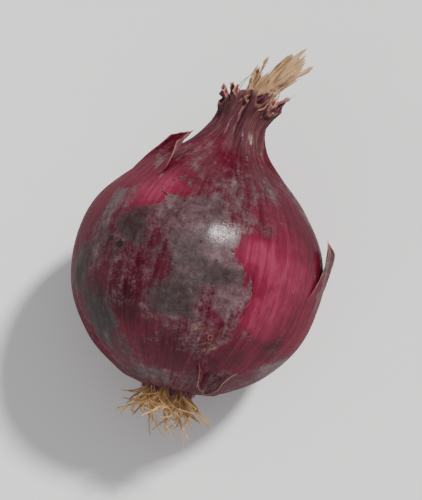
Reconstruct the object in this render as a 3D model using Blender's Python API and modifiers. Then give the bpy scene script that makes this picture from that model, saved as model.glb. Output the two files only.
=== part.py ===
# Red onion lying on its side: the bulb in its dry skin, the dried leaf ends in its neck and the
# tuft of roots at its base. Metres, +Z up. The roots point to -Y and the neck to +Y.
# The origin is on the surface that the onion rests on, under the middle of its bounding box.
#
# Most shapes are worked out in the onion's own frame: "axial" runs along its axis from the roots
# to the neck, 0 at the widest ring, and "phi" is the angle round the axis, 0 at the top and
# positive towards +X.

import math
import random

import bmesh
import bpy
import numpy as np
from mathutils import Vector

MM = 0.001

# Outer skin from the crown of the neck down to the rim round the roots: axial, radius
SKIN_PROFILE = [
    (39.3 * MM, 6.4 * MM),
    (36.8 * MM, 5.7 * MM),
    (34.0 * MM, 5.6 * MM),
    (31.0 * MM, 6.6 * MM),
    (27.6 * MM, 8.9 * MM),
    (23.9 * MM, 13.4 * MM),
    (18.4 * MM, 20.0 * MM),
    (10.0 * MM, 26.1 * MM),
    (0.0 * MM, 28.0 * MM),
    (-10.6 * MM, 26.1 * MM),
    (-19.6 * MM, 20.0 * MM),
    (-24.9 * MM, 12.6 * MM),
    (-26.6 * MM, 8.4 * MM),
    (-26.0 * MM, 6.3 * MM),
]
RING_GAP = 2.4 * MM
SKIN_STEPS = 72

# Hollow in the crown of the neck, which holds the dried leaves
SOCKET_FLOOR = 33.0 * MM
SOCKET_RADIUS = 3.7 * MM
SOCKET_MOUTH = (38.6 * MM, 4.4 * MM)
CROWN_LIP = (39.6 * MM, 5.6 * MM)

# Hollow in the base, which holds the root plate
BASE_FLOOR = -24.6 * MM
BASE_RADIUS = 5.4 * MM

# How the turned shape departs from round
LOBE_2 = 0.018
LOBE_3 = 0.010
NECK_PLEAT = 0.75 * MM
BASE_PLEAT = 0.30 * MM
PLEAT_TWIST = 0.55
CROWN_TEAR = 2.3 * MM
BEND_START = 20.0 * MM
BEND_LENGTH = 22.0 * MM
BEND_SIDE = 5.0 * MM
BEND_TOWARDS = math.radians(62)

# How it lies
NECK_RISE = math.radians(9)
CENTRE_HEIGHT = 27.2 * MM
CENTRE_X = -0.8 * MM
CENTRE_Y = -6.07 * MM

# Loose skin: thickness, and how deep the fixed edge is sunk in the bulb
FLAP_THICKNESS = 0.7 * MM
FLAP_SUNK = 1.3 * MM
FLAP_LONG = 9.5 * MM
FLAP_BASE = 6.5 * MM
FLAP_SHOULDER = 6.5 * MM
FLAP_UNDER = 8.0 * MM

# Torn tongues of skin that stand round the crown and curl outwards
TONGUE_COUNT = 6
TONGUE_BASE = 33.0 * MM
TONGUE_RADIUS = 4.8 * MM
TONGUE_WIDTH = 4.6 * MM
TONGUE_SEED = 3

# Dried leaf ends in the neck
PLUG_PROFILE = [
    (43.0 * MM, 0.0 * MM),
    (42.4 * MM, 1.5 * MM),
    (40.5 * MM, 2.6 * MM),
    (38.0 * MM, 3.2 * MM),
    (33.3 * MM, 3.3 * MM),
    (33.3 * MM, 0.0 * MM),
]
PLUG_STEPS = 24
LEAF_COUNT = 7
LEAF_THICKNESS = 0.7 * MM
LEAF_BASE = 37.0 * MM
LEAF_START = 1.5 * MM
LEAF_WIDTH = 4.2 * MM
LEAF_SEED = 5

# Roots
PLATE_PROFILE = [
    (-24.9 * MM, 0.0 * MM),
    (-24.9 * MM, 4.9 * MM),
    (-26.2 * MM, 5.0 * MM),
    (-27.1 * MM, 4.2 * MM),
    (-27.6 * MM, 2.2 * MM),
    (-27.7 * MM, 0.0 * MM),
]
PLATE_STEPS = 28
ROOT_COUNT = 40
ROOT_RADIUS = 0.46 * MM
ROOT_POINTS = 9
ROOT_SEED = 11
ROOT_START = -26.4 * MM
ROOT_SPREAD = 3.9 * MM
ROOT_CLEAR = -27.6 * MM
GOLDEN_ANGLE = math.pi * (3 - math.sqrt(5))


def smoothstep(low, high, value):
    t = np.clip((value - low) / (high - low), 0.0, 1.0)
    return t * t * (3 - 2 * t)


def lobes(phi):
    """The slightly uneven round of the bulb, as a factor on its radius."""
    return 1 + LOBE_2 * np.cos(2 * phi + 0.9) + LOBE_3 * np.cos(3 * phi + 2.1)


def pleats(axial, phi):
    """Lengthwise folds of the dry skin, which gather at the neck and round the roots."""
    turned = phi + PLEAT_TWIST * smoothstep(20 * MM, 42 * MM, axial)
    neck = 0.6 * np.cos(7 * turned + 1.3) + 0.4 * np.cos(12 * turned + 0.4)
    base = np.cos(9 * phi + 0.7)
    neck_depth = NECK_PLEAT * smoothstep(12 * MM, 31 * MM, axial)
    base_depth = BASE_PLEAT * smoothstep(-17 * MM, -25 * MM, axial)
    return neck_depth * neck + base_depth * base


def crown_tear(axial, phi):
    """How far the torn edge of the collar stands above or below its mean height."""
    tongues = 0.60 * np.cos(3 * phi + 0.6) + 0.40 * np.cos(7 * phi + 2.0) + 0.30 * np.cos(11 * phi)
    return CROWN_TEAR * tongues * smoothstep(35 * MM, 39.5 * MM, axial)


def to_world(x, y, z):
    """From the onion's own frame, +z towards the neck and -y up, to the world."""
    return Vector((
        x + CENTRE_X,
        y * math.sin(NECK_RISE) + z * math.cos(NECK_RISE) + CENTRE_Y,
        -y * math.cos(NECK_RISE) + z * math.sin(NECK_RISE) + CENTRE_HEIGHT,
    ))


def bent_point(axial, radius, phi):
    """A plain turned point, leaned over with the neck and laid in the world."""
    lean = BEND_SIDE * max(0.0, (axial - BEND_START) / BEND_LENGTH) ** 2
    x = radius * math.sin(phi) + lean * math.sin(BEND_TOWARDS)
    y = -radius * math.cos(phi) - lean * math.cos(BEND_TOWARDS)
    return to_world(x, y, axial)


def skin_point(axial, radius, phi):
    """A point of the bulb, with its lobes, pleats and torn crown; it rests flat on z = 0."""
    outer = smoothstep(4.2 * MM, 5.6 * MM, radius)
    round_part = smoothstep(4.2 * MM, 15.0 * MM, radius)
    radius = radius * (1 + (lobes(phi) - 1) * round_part) + outer * pleats(axial, phi)
    point = bent_point(axial + crown_tear(axial, phi), radius, phi)
    point.z = max(point.z, 0.0)
    return point


def smooth_line(points, gap):
    """A Catmull-Rom curve through the points, with a point about every gap."""
    path = [np.array(point) for point in points]
    path = [2 * path[0] - path[1]] + path + [2 * path[-1] - path[-2]]
    line = []
    for before, start, end, after in zip(path, path[1:], path[2:], path[3:]):
        steps = max(1, round(float(np.linalg.norm(end - start)) / gap))
        for step in range(steps):
            t = step / steps
            line.append(0.5 * (2 * start + (end - before) * t
                               + (2 * before - 5 * start + 4 * end - after) * t ** 2
                               + (3 * start - before - 3 * end + after) * t ** 3))
    line.append(path[-2])
    return [(float(axial), float(radius)) for axial, radius in line]


SKIN_LINE = smooth_line(SKIN_PROFILE, RING_GAP)


def skin_frame(height):
    """Axial, radius and outward normal at a height from 0, the base rim, to 1, the crown."""
    line = np.array(SKIN_LINE[::-1])
    steps = np.linalg.norm(np.diff(line, axis=0), axis=1)
    run = np.concatenate([[0.0], np.cumsum(steps)]) / steps.sum()
    axial = np.interp(height, run, line[:, 0])
    radius = np.interp(height, run, line[:, 1])
    ahead = min(height + 0.02, 1.0)
    behind = max(height - 0.02, 0.0)
    rise = np.interp(ahead, run, line[:, 0]) - np.interp(behind, run, line[:, 0])
    widen = np.interp(ahead, run, line[:, 1]) - np.interp(behind, run, line[:, 1])
    length = math.hypot(rise, widen)
    return axial, radius, -widen / length, rise / length


def make_material(name, colour, roughness):
    material = bpy.data.materials.new(name)
    material.use_nodes = True
    shader = material.node_tree.nodes["Principled BSDF"]
    shader.inputs["Base Color"].default_value = (*colour, 1)
    shader.inputs["Roughness"].default_value = roughness
    shader.inputs["Metallic"].default_value = 0.0
    return material


def new_object(name, mesh, collection, material):
    made = bpy.data.objects.new(name, mesh)
    collection.objects.link(made)
    mesh.materials.clear()
    mesh.materials.append(material)
    return made


def evaluated_mesh(source):
    """The source object's mesh with its modifiers, as plain mesh data; the source goes."""
    bpy.context.view_layer.update()
    depsgraph = bpy.context.evaluated_depsgraph_get()
    mesh = bpy.data.meshes.new_from_object(source.evaluated_get(depsgraph))
    bpy.data.objects.remove(source)
    return mesh


def turned_mesh(name, profile, steps, collection):
    """A closed turned solid round Z from a list of axial, radius that runs down its outside."""
    mesh = bpy.data.meshes.new(name)
    vertices = [(radius, 0.0, axial) for axial, radius in profile]
    edges = [(index, index + 1) for index in range(len(vertices) - 1)]
    mesh.from_pydata(vertices, edges, [])
    source = bpy.data.objects.new(name, mesh)
    collection.objects.link(source)
    screw = source.modifiers.new("Turn", "SCREW")
    screw.axis = "Z"
    screw.angle = 2 * math.pi
    screw.steps = steps
    screw.render_steps = steps
    screw.use_merge_vertices = True
    screw.merge_threshold = 0.00001
    return evaluated_mesh(source)


def move_turned(mesh, shape):
    """Moves each vertex of a turned mesh to shape(axial, radius, phi)."""
    for vertex in mesh.vertices:
        x, y, z = vertex.co
        vertex.co = shape(z, math.hypot(x, y), math.atan2(x, -y))


def blade_mesh(name, across, along, thickness, shape, collection):
    """A thin solid from a grid: shape(u, v) gives its middle, u in -1..1 across, v in 0..1."""
    bpy.ops.mesh.primitive_grid_add(x_subdivisions=across, y_subdivisions=along, size=2)
    source = bpy.context.object
    for owner in source.users_collection:
        owner.objects.unlink(source)
    collection.objects.link(source)
    source.name = name
    for vertex in source.data.vertices:
        vertex.co = shape(vertex.co.x, (vertex.co.y + 1) / 2)
    bm = bmesh.new()
    bm.from_mesh(source.data)
    bmesh.ops.triangulate(bm, faces=bm.faces)
    bm.to_mesh(source.data)
    bm.free()
    solidify = source.modifiers.new("Thickness", "SOLIDIFY")
    solidify.thickness = thickness
    solidify.offset = 0.0
    return evaluated_mesh(source)


def join_all(base, name, pieces, material):
    """One Boolean union of the base object with every mesh in pieces."""
    group = bpy.data.collections.new(name + "_pieces")
    bpy.context.scene.collection.children.link(group)
    for index, mesh in enumerate(pieces):
        piece = new_object(f"{name}_piece_{index}", mesh, group, material)
        piece.hide_render = True
        piece.display_type = "WIRE"
    union = base.modifiers.new("Join", "BOOLEAN")
    union.operation = "UNION"
    union.operand_type = "COLLECTION"
    union.collection = group
    union.solver = "EXACT"
    depsgraph = bpy.context.evaluated_depsgraph_get()
    joined = bpy.data.meshes.new_from_object(base.evaluated_get(depsgraph))
    base.modifiers.remove(union)
    base.data = joined
    joined.name = name
    for piece in list(group.objects):
        bpy.data.objects.remove(piece)
    bpy.data.collections.remove(group)


def finish_mesh(mesh):
    mesh.shade_smooth()
    mesh.set_sharp_from_angle(angle=math.radians(50))


def flap_shape(middle, half_width, fixed, tip, lift, skew, notch):
    """A loose piece of skin: fixed at one height, torn to an uneven end at the other."""
    def shape(u, v):
        reach = 1 - notch * (0.5 - 0.5 * math.cos(4.4 * u + 0.7))
        axial, radius, normal_axial, normal_radius = skin_frame(fixed + (tip - fixed) * v * reach)
        width = half_width * (1 - 0.55 * v ** 1.7) * (1 + 0.10 * math.sin(9 * v + 3 * u))
        phi = middle + skew * v + width * u / radius
        height = -FLAP_SUNK + (lift + FLAP_SUNK) * v ** 1.1 + 0.30 * MM * u * u * v
        return skin_point(axial + normal_axial * height, radius + normal_radius * height, phi)
    return shape


def tongue_shape(around, rise, flare):
    """A torn tongue of the collar: it grows out of the neck's wall and curls outwards."""
    def shape(u, v):
        radius = TONGUE_RADIUS + flare * v ** 2.2
        width = 0.5 * TONGUE_WIDTH * (1 - 0.6 * v ** 2)
        axial = TONGUE_BASE + rise * (v - 0.18 * v ** 3) - 0.5 * MM * abs(u) * v
        return bent_point(axial, radius, around + 0.25 * v + width * u / radius)
    return shape


def make_bulb(collection, material, scratch):
    profile = [(SOCKET_FLOOR, 0.0), (SOCKET_FLOOR, SOCKET_RADIUS), SOCKET_MOUTH, CROWN_LIP]
    profile += SKIN_LINE
    profile += [(BASE_FLOOR, BASE_RADIUS), (BASE_FLOOR, 0.0)]
    mesh = turned_mesh("bulb_turned", profile, SKIN_STEPS, scratch)
    move_turned(mesh, skin_point)
    bulb = new_object("bulb", mesh, collection, material)

    flaps = [
        flap_shape(math.radians(80), FLAP_LONG, 0.28, 0.60, 1.7 * MM, 0.10, 0.20),
        flap_shape(math.radians(36), FLAP_BASE, 0.27, 0.10, 1.4 * MM, -0.12, 0.22),
        flap_shape(math.radians(-52), FLAP_SHOULDER, 0.59, 0.84, 2.4 * MM, 0.08, 0.20),
        flap_shape(math.radians(-145), FLAP_UNDER, 0.50, 0.74, 1.6 * MM, -0.10, 0.20),
    ]
    pieces = []
    for index, shape in enumerate(flaps):
        pieces.append(blade_mesh(f"flap_{index}", 7, 8, FLAP_THICKNESS, shape, scratch))
    rng = random.Random(TONGUE_SEED)
    for index in range(TONGUE_COUNT):
        around = 2 * math.pi * (index + 0.4 * rng.random()) / TONGUE_COUNT
        shape = tongue_shape(around, rng.uniform(8.0, 11.5) * MM, rng.uniform(1.6, 4.2) * MM)
        pieces.append(blade_mesh(f"tongue_{index}", 4, 6, FLAP_THICKNESS, shape, scratch))
    join_all(bulb, "bulb", pieces, material)
    finish_mesh(bulb.data)
    return bulb


def leaf_shape(around, tip, spread, turn):
    """One dried leaf end: a narrow strip, twisted, and leaning out past the crown."""
    def shape(u, v):
        axial = LEAF_BASE + (tip - LEAF_BASE) * v
        out = LEAF_START + spread * v ** 2
        facing = around + turn * v
        side = 0.5 * LEAF_WIDTH * (1 - 0.55 * v) * u
        x = out * math.sin(around) + side * math.cos(facing)
        y = -out * math.cos(around) + side * math.sin(facing)
        return bent_point(axial, math.hypot(x, y), math.atan2(x, -y))
    return shape


def make_neck_leaves(collection, material, scratch):
    mesh = turned_mesh("plug_turned", PLUG_PROFILE, PLUG_STEPS, scratch)
    move_turned(mesh, bent_point)
    plug = new_object("neck_leaves", mesh, collection, material)

    rng = random.Random(LEAF_SEED)
    pieces = []
    for index in range(LEAF_COUNT):
        around = 2 * math.pi * (index + 0.3 * rng.random()) / LEAF_COUNT
        tip = rng.uniform(44.5, 52.0) * MM
        spread = rng.uniform(0.8, 2.4) * MM * (tip - LEAF_BASE) / (9 * MM)
        shape = leaf_shape(around, tip, spread, rng.uniform(-1.1, 1.1))
        pieces.append(blade_mesh(f"leaf_{index}", 3, 8, LEAF_THICKNESS, shape, scratch))
    join_all(plug, "neck_leaves", pieces, material)
    finish_mesh(plug.data)
    return plug


def root_path(rng, index):
    """Points of one curly root: out of the plate, away from the axis, clear of the bulb."""
    around = GOLDEN_ANGLE * index + rng.uniform(-0.3, 0.3)
    share = math.sqrt((index + 0.5) / ROOT_COUNT)
    lean = math.radians(20 + 56 * share + rng.uniform(-12, 8))
    curl = rng.choice((-1, 1)) * rng.uniform(0.6, 3.6)
    length = rng.uniform(8.0, 13.5) * MM
    x = ROOT_SPREAD * share * math.sin(around)
    y = -ROOT_SPREAD * share * math.cos(around)
    z = ROOT_START
    points = [to_world(x, y, z)]
    step = length / (ROOT_POINTS - 1)
    for count in range(1, ROOT_POINTS):
        done = count / (ROOT_POINTS - 1)
        heading = around + curl * done ** 1.3
        tilt = lean * (0.50 + 0.75 * done)
        x += step * math.sin(tilt) * math.sin(heading)
        y -= step * math.sin(tilt) * math.cos(heading)
        z = min(z - step * math.cos(tilt), ROOT_CLEAR)
        points.append(to_world(x, y, z))
    return points


def root_mesh(name, points, collection):
    curve = bpy.data.curves.new(name, "CURVE")
    curve.dimensions = "3D"
    curve.bevel_depth = ROOT_RADIUS
    curve.bevel_resolution = 0
    curve.use_fill_caps = True
    spline = curve.splines.new("POLY")
    spline.points.add(len(points) - 1)
    for index, (node, place) in enumerate(zip(spline.points, points)):
        node.co = (*place, 1)
        node.radius = 1 - 0.38 * index / (len(points) - 1)
    source = bpy.data.objects.new(name, curve)
    collection.objects.link(source)
    mesh = evaluated_mesh(source)
    bm = bmesh.new()
    bm.from_mesh(mesh)
    bmesh.ops.remove_doubles(bm, verts=bm.verts, dist=0.00001)
    bm.to_mesh(mesh)
    bm.free()
    return mesh


def make_root_tuft(collection, material, scratch):
    mesh = turned_mesh("plate_turned", PLATE_PROFILE, PLATE_STEPS, scratch)
    move_turned(mesh, bent_point)
    plate = new_object("root_tuft", mesh, collection, material)

    rng = random.Random(ROOT_SEED)
    pieces = []
    for index in range(ROOT_COUNT):
        pieces.append(root_mesh(f"root_{index}", root_path(rng, index), scratch))
    join_all(plate, "root_tuft", pieces, material)
    finish_mesh(plate.data)
    return plate


def main():
    for old in list(bpy.data.objects):
        bpy.data.objects.remove(old)
    collection = bpy.data.collections.new("red_onion")
    scratch = bpy.data.collections.new("red_onion_scratch")
    bpy.context.scene.collection.children.link(collection)
    bpy.context.scene.collection.children.link(scratch)

    skin = make_material("onion_skin", (0.165, 0.035, 0.058), 0.42)
    leaf = make_material("dry_leaf", (0.600, 0.420, 0.255), 0.70)
    root = make_material("dry_root", (0.760, 0.575, 0.345), 0.75)

    make_bulb(collection, skin, scratch)
    make_neck_leaves(collection, leaf, scratch)
    make_root_tuft(collection, root, scratch)
    bpy.data.collections.remove(scratch)


main()
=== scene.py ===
# Looks of the red onion lying on its side: dry papery skin with a dusty outer film that has flaked
# off in places, loose and torn skins, a ruffled collar round the neck, dried leaf ends and roots.
# Metres, +Z up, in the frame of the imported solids. The roots point to -Y and the neck to +Y.
#
# As in the solids, "axial" runs along the onion's axis from the roots to the neck, 0 at the widest
# ring, and "phi" is the angle round the axis, 0 at the top and positive towards +X. "height" runs
# over the skin's outline from 0, the rim round the roots, to 1, the crown of the neck.

import math
import random

import bpy
import numpy as np
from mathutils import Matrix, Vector


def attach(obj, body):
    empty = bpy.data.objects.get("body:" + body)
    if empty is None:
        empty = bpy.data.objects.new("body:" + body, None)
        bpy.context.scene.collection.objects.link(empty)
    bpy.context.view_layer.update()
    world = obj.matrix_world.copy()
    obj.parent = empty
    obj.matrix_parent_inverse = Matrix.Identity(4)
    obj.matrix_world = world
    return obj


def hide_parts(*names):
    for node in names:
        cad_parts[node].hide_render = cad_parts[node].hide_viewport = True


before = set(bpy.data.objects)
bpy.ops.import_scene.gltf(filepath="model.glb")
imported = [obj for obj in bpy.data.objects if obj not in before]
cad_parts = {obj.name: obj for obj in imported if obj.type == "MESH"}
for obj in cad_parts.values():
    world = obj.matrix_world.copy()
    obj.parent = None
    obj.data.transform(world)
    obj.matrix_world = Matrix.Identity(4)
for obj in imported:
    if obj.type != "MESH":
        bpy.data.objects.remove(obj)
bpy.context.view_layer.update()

MM = 0.001
BULB_RADIUS = 28.0 * MM

# Outline of the skin, the same as the bulb's: axial, radius
SKIN_PROFILE = MM * np.array([
    (39.3, 6.4), (36.8, 5.7), (34.0, 5.6), (31.0, 6.6), (27.6, 8.9), (23.9, 13.4), (18.4, 20.0),
    (10.0, 26.1), (0.0, 28.0), (-10.6, 26.1), (-19.6, 20.0), (-24.9, 12.6), (-26.6, 8.4), (-26.0, 6.3),
])
OUTLINE_GAP = 0.1 * MM
NORMAL_REACH = 0.02

# Crown of the neck: the skin's thin torn wall and the hollow in it, from the lip down to the middle
CROWN_WALL = MM * np.array([
    (39.45, 6.34), (39.3, 6.2), (38.4, 5.86), (36.6, 5.38), (34.6, 5.18), (33.4, 4.7), (33.0, 3.4),
])
CROWN_GAP = 0.6 * MM
CROWN_FLOOR = 33.0 * MM
LIP_TEAR = 0.55 * MM

# Hollow of the base round the root plate, from its floor out to the rim
BASE_WALL = MM * np.array([(-24.6, 4.6), (-25.0, 5.6), (-25.6, 5.9)])
BASE_FLOOR = -24.6 * MM

# How the round shape is lobed, pleated, torn and bent, the same as the bulb's
LOBE_2 = 0.018
LOBE_3 = 0.010
NECK_PLEAT = 0.75 * MM
BASE_PLEAT = 0.30 * MM
PLEAT_TWIST = 0.55
CROWN_TEAR = 2.3 * MM
BEND_START = 20.0 * MM
BEND_LENGTH = 22.0 * MM
BEND_SIDE = 5.0 * MM
BEND_TOWARDS = math.radians(62)
NECK_RISE = math.radians(9)
CENTRE_HEIGHT = 27.2 * MM
CENTRE_X = -0.8 * MM
CENTRE_Y = -6.07 * MM

SKIN_COLUMNS = 420
SKIN_ROWS = 190

# Marks on the skin: angle in degrees, height, half width in degrees, half height, weight.
# Where the dusty film lies thick, or has flaked off so that bare skin shows
FILM = [
    (7, 0.45, 15, 0.085, 0.45), (-4, 0.57, 13, 0.070, 0.32), (24, 0.38, 9, 0.050, 0.32),
    (-2, 0.35, 12, 0.045, 0.25), (-26, 0.515, 9, 0.045, 0.26), (-50, 0.55, 7, 0.040, 0.30),
    (-64, 0.54, 8, 0.050, -0.35), (-58, 0.37, 10, 0.060, 0.35), (-45, 0.25, 14, 0.070, 0.40),
    (79, 0.21, 16, 0.050, 0.40), (-19, 0.09, 22, 0.035, 0.25), (47, 0.43, 22, 0.130, -0.75),
    (29, 0.495, 11, 0.055, -0.60), (60, 0.58, 18, 0.120, -0.80), (36, 0.62, 12, 0.050, -0.25),
    (-28, 0.61, 12, 0.050, -0.50), (-24, 0.69, 14, 0.035, -0.35), (-56, 0.66, 16, 0.065, -0.75),
    (-73, 0.51, 16, 0.100, -0.75), (-30, 0.36, 11, 0.050, -0.04), (-21, 0.27, 12, 0.045, -0.38),
    (-15, 0.24, 14, 0.045, -0.15), (1, 0.18, 25, 0.045, -0.38), (-36, 0.19, 13, 0.050, 0.14),
    (41, 0.23, 17, 0.055, -0.40), (68, 0.34, 11, 0.070, -0.35),
]
# Where the film is dark, or pale. Its pale marks at -4 and 17 degrees, round the highlight, are painted
# sheen of the highlight.
FILM_DARK_AND_SHEEN = [
    (8, 0.435, 8, 0.046, 0.37), (-27, 0.515, 10, 0.045, 0.42), (-60, 0.40, 11, 0.060, 0.42),
    (-4, 0.36, 13, 0.050, 0.48), (-14, 0.46, 9, 0.040, 0.30), (-38, 0.20, 16, 0.060, 0.25),
    (-41, 0.44, 8, 0.040, 0.30), (-50, 0.30, 16, 0.085, 0.52), (-4, 0.59, 14, 0.075, -0.25),
    (17, 0.52, 12, 0.060, -0.30), (24, 0.38, 9, 0.050, -0.22), (79, 0.21, 18, 0.050, -0.40),
]
# Where the bare skin is bright magenta, or deep crimson. The mark at 30 degrees, beside the highlight, is
# bare magenta made brighter by painted sheen of the highlight.
BLUSH_AND_SHEEN = [
    (44, 0.48, 15, 0.080, 0.38), (30, 0.50, 10, 0.045, 0.35), (44, 0.35, 12, 0.050, 0.35),
    (-30, 0.61, 13, 0.055, 0.50), (-56, 0.66, 16, 0.060, 0.12), (52, 0.30, 10, 0.050, -0.30),
    (-30, 0.30, 17, 0.050, -0.32), (2, 0.21, 28, 0.055, -0.18),
]
# Small dark specks
SPECKS = [(-40, 0.460, 1.7, 0.009, 1.0), (-34, 0.450, 2.2, 0.011, 1.0)]
# Dry brown scars
SCARS = [
    (15, 0.275, 8, 0.030, 0.9), (23, 0.245, 5, 0.018, 0.8), (-12, 0.300, 5, 0.020, 0.4),
]

# Broad dents, as waves: how many go round, how fast they turn along the axis, shift, depth in mm
DENTS = [
    (2, 7.0, 0.4, 0.10), (4, -5.0, 1.9, 0.09), (5, 9.0, 3.1, 0.07),
    (7, -13.0, 0.2, 0.035), (9, 6.0, 5.0, 0.018), (13, 21.0, 2.2, 0.008),
]

# Loose skins and the fringe, the collar and leaf ends, and the film's edges
SHEET_THICKNESS = 0.14 * MM
LEAF_THICKNESS = 0.11 * MM
FILM_THICKNESS = 0.09 * MM
# How deep the fixed side of a loose skin, or of a film edge, lies under the skin
SHEET_SUNK = 0.35 * MM
FILM_SUNK = 0.20 * MM
SHARP_ANGLE = math.radians(50)
# Creases in a dry leaf or tongue
CREASES = 5
NOISE_ROWS = 64
# An uneven line: how many times it gets finer, and the share of its size that it then keeps
RAGGED_LEVELS = 4
FINER_SHARE = 0.55
# Any direction that no thread or root starts along
TUBE_SIDE = (0.31, 0.62, 0.72)


def smoothstep(low, high, value):
    t = np.clip((value - low) / (high - low), 0.0, 1.0)
    return t * t * (3 - 2 * t)


def lobes(phi):
    return 1 + LOBE_2 * np.cos(2 * phi + 0.9) + LOBE_3 * np.cos(3 * phi + 2.1)


def twist(axial):
    """How far the folds of the neck have turned round the axis."""
    return PLEAT_TWIST * smoothstep(20 * MM, 42 * MM, axial)


def pleats(axial, phi):
    turned = phi + twist(axial)
    neck = 0.6 * np.cos(7 * turned + 1.3) + 0.4 * np.cos(12 * turned + 0.4)
    base = np.cos(9 * phi + 0.7)
    neck_depth = NECK_PLEAT * smoothstep(12 * MM, 31 * MM, axial)
    base_depth = BASE_PLEAT * smoothstep(-17 * MM, -25 * MM, axial)
    return neck_depth * neck + base_depth * base


def crown_tear(axial, phi):
    tongues = 0.60 * np.cos(3 * phi + 0.6) + 0.40 * np.cos(7 * phi + 2.0) + 0.30 * np.cos(11 * phi)
    return CROWN_TEAR * tongues * smoothstep(35 * MM, 39.5 * MM, axial)


def to_world(x, y, z):
    """From the onion's own frame, +z towards the neck and -y up, to the world."""
    return np.stack(np.broadcast_arrays(
        x + CENTRE_X,
        y * math.sin(NECK_RISE) + z * math.cos(NECK_RISE) + CENTRE_Y,
        -y * math.cos(NECK_RISE) + z * math.sin(NECK_RISE) + CENTRE_HEIGHT,
    ), axis=-1)


def bent_point(axial, radius, phi):
    lean = BEND_SIDE * np.maximum(0.0, (axial - BEND_START) / BEND_LENGTH) ** 2
    x = radius * np.sin(phi) + lean * math.sin(BEND_TOWARDS)
    y = -radius * np.cos(phi) - lean * math.cos(BEND_TOWARDS)
    return to_world(x, y, axial)


def skin_point(axial, radius, phi):
    outer = smoothstep(4.2 * MM, 5.6 * MM, radius)
    round_part = smoothstep(4.2 * MM, 15.0 * MM, radius)
    radius = radius * (1 + (lobes(phi) - 1) * round_part) + outer * pleats(axial, phi)
    point = bent_point(axial + crown_tear(axial, phi), radius, phi)
    point[..., 2] = np.maximum(point[..., 2], 0.0)
    return point


def smooth_line(points, gap):
    """A Catmull-Rom curve through the points, with a point about every gap."""
    path = list(np.array(points))
    path = [2 * path[0] - path[1], *path, 2 * path[-1] - path[-2]]
    line = []
    for before, start, end, after in zip(path, path[1:], path[2:], path[3:]):
        steps = max(1, round(float(np.linalg.norm(end - start)) / gap))
        for step in range(steps):
            t = step / steps
            line.append(0.5 * (2 * start + (end - before) * t
                               + (2 * before - 5 * start + 4 * end - after) * t ** 2
                               + (3 * start - before - 3 * end + after) * t ** 3))
    line.append(path[-2])
    return np.array(line)


OUTLINE = smooth_line(SKIN_PROFILE, OUTLINE_GAP)[::-1]
OUTLINE_STEPS = np.linalg.norm(np.diff(OUTLINE, axis=0), axis=1)
OUTLINE_LENGTH = OUTLINE_STEPS.sum()
OUTLINE_RUN = np.cumsum([0.0, *OUTLINE_STEPS]) / OUTLINE_LENGTH


def outline_at(height):
    """Axial and radius of the skin's outline at a height."""
    return [np.interp(height, OUTLINE_RUN, OUTLINE[:, part]) for part in (0, 1)]


def outline_frame(height):
    """Axial, radius and outward normal of the skin's outline at a height."""
    axial, radius = outline_at(height)
    axial_ahead, radius_ahead = outline_at(np.minimum(height + NORMAL_REACH, 1.0))
    axial_behind, radius_behind = outline_at(np.maximum(height - NORMAL_REACH, 0.0))
    rise = axial_ahead - axial_behind
    widen = radius_ahead - radius_behind
    length = np.hypot(rise, widen)
    return axial, radius, -widen / length, rise / length


def ring_noise(seed, turns, phi, along):
    """Smooth noise from -1 to 1, with so many cells round the axis and one for each unit along it."""
    cells = np.random.default_rng(seed).uniform(-1, 1, (NOISE_ROWS, turns))
    x = phi / math.tau * turns
    column = np.floor(x).astype(int)
    row = np.floor(along).astype(int)
    across = smoothstep(0.0, 1.0, x - column)
    up = smoothstep(0.0, 1.0, along - row)

    def on_row(row):
        near = cells[row % NOISE_ROWS, column % turns]
        far = cells[row % NOISE_ROWS, (column + 1) % turns]
        return near * (1 - across) + far * across

    return on_row(row) * (1 - up) + on_row(row + 1) * up


def ragged(seed, places, cells):
    """An uneven line between about -1 and 1 with sharp corners, as along a tear; places run from 0 to 1."""
    rng = np.random.default_rng(seed)
    total = np.zeros_like(places)
    size = FINER_SHARE
    for _ in range(RAGGED_LEVELS):
        knots = rng.uniform(-1, 1, cells + 1)
        total = total + size * np.interp(places, np.linspace(0, 1, cells + 1), knots)
        cells = cells * 2 + 1
        size = size * FINER_SHARE
    return total


def relief(height, phi):
    """How far the skin stands out past its plain outline: dents, fine veins and wrinkles."""
    axial, _ = outline_at(height)
    turned = phi + twist(axial)
    neck = smoothstep(0.70, 0.90, height)
    base = smoothstep(0.13, 0.03, height)
    dents = sum(depth * np.cos(turns * phi + rise * height + shift) for turns, rise, shift, depth in DENTS)
    wander = 0.5 * ring_noise(13, 11, phi, height * 4)
    veins = 0.009 * np.cos(58 * phi + 5 * wander) + 0.011 * ring_noise(14, 150, phi, height * 4)
    creases = 0.30 * ring_noise(15, 26, turned, height * 7) + 0.17 * ring_noise(16, 55, turned, height * 13)
    rings = 0.14 * ring_noise(17, 30, phi, height * 60)
    return MM * (dents * (1 - 0.6 * neck) + veins + creases * neck + rings * base)


def spots(height, phi, marks, core=0.60):
    """The sum of soft round marks on the skin; core is the share of a mark that has its full weight."""
    total = np.zeros_like(height)
    for middle, level, wide, tall, weight in marks:
        turn = (phi - math.radians(middle) + math.pi) % math.tau - math.pi
        distance = np.hypot(turn / math.radians(wide), (height - level) / tall)
        total = total + weight * smoothstep(1.85 - core, core, distance)
    return total


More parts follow.
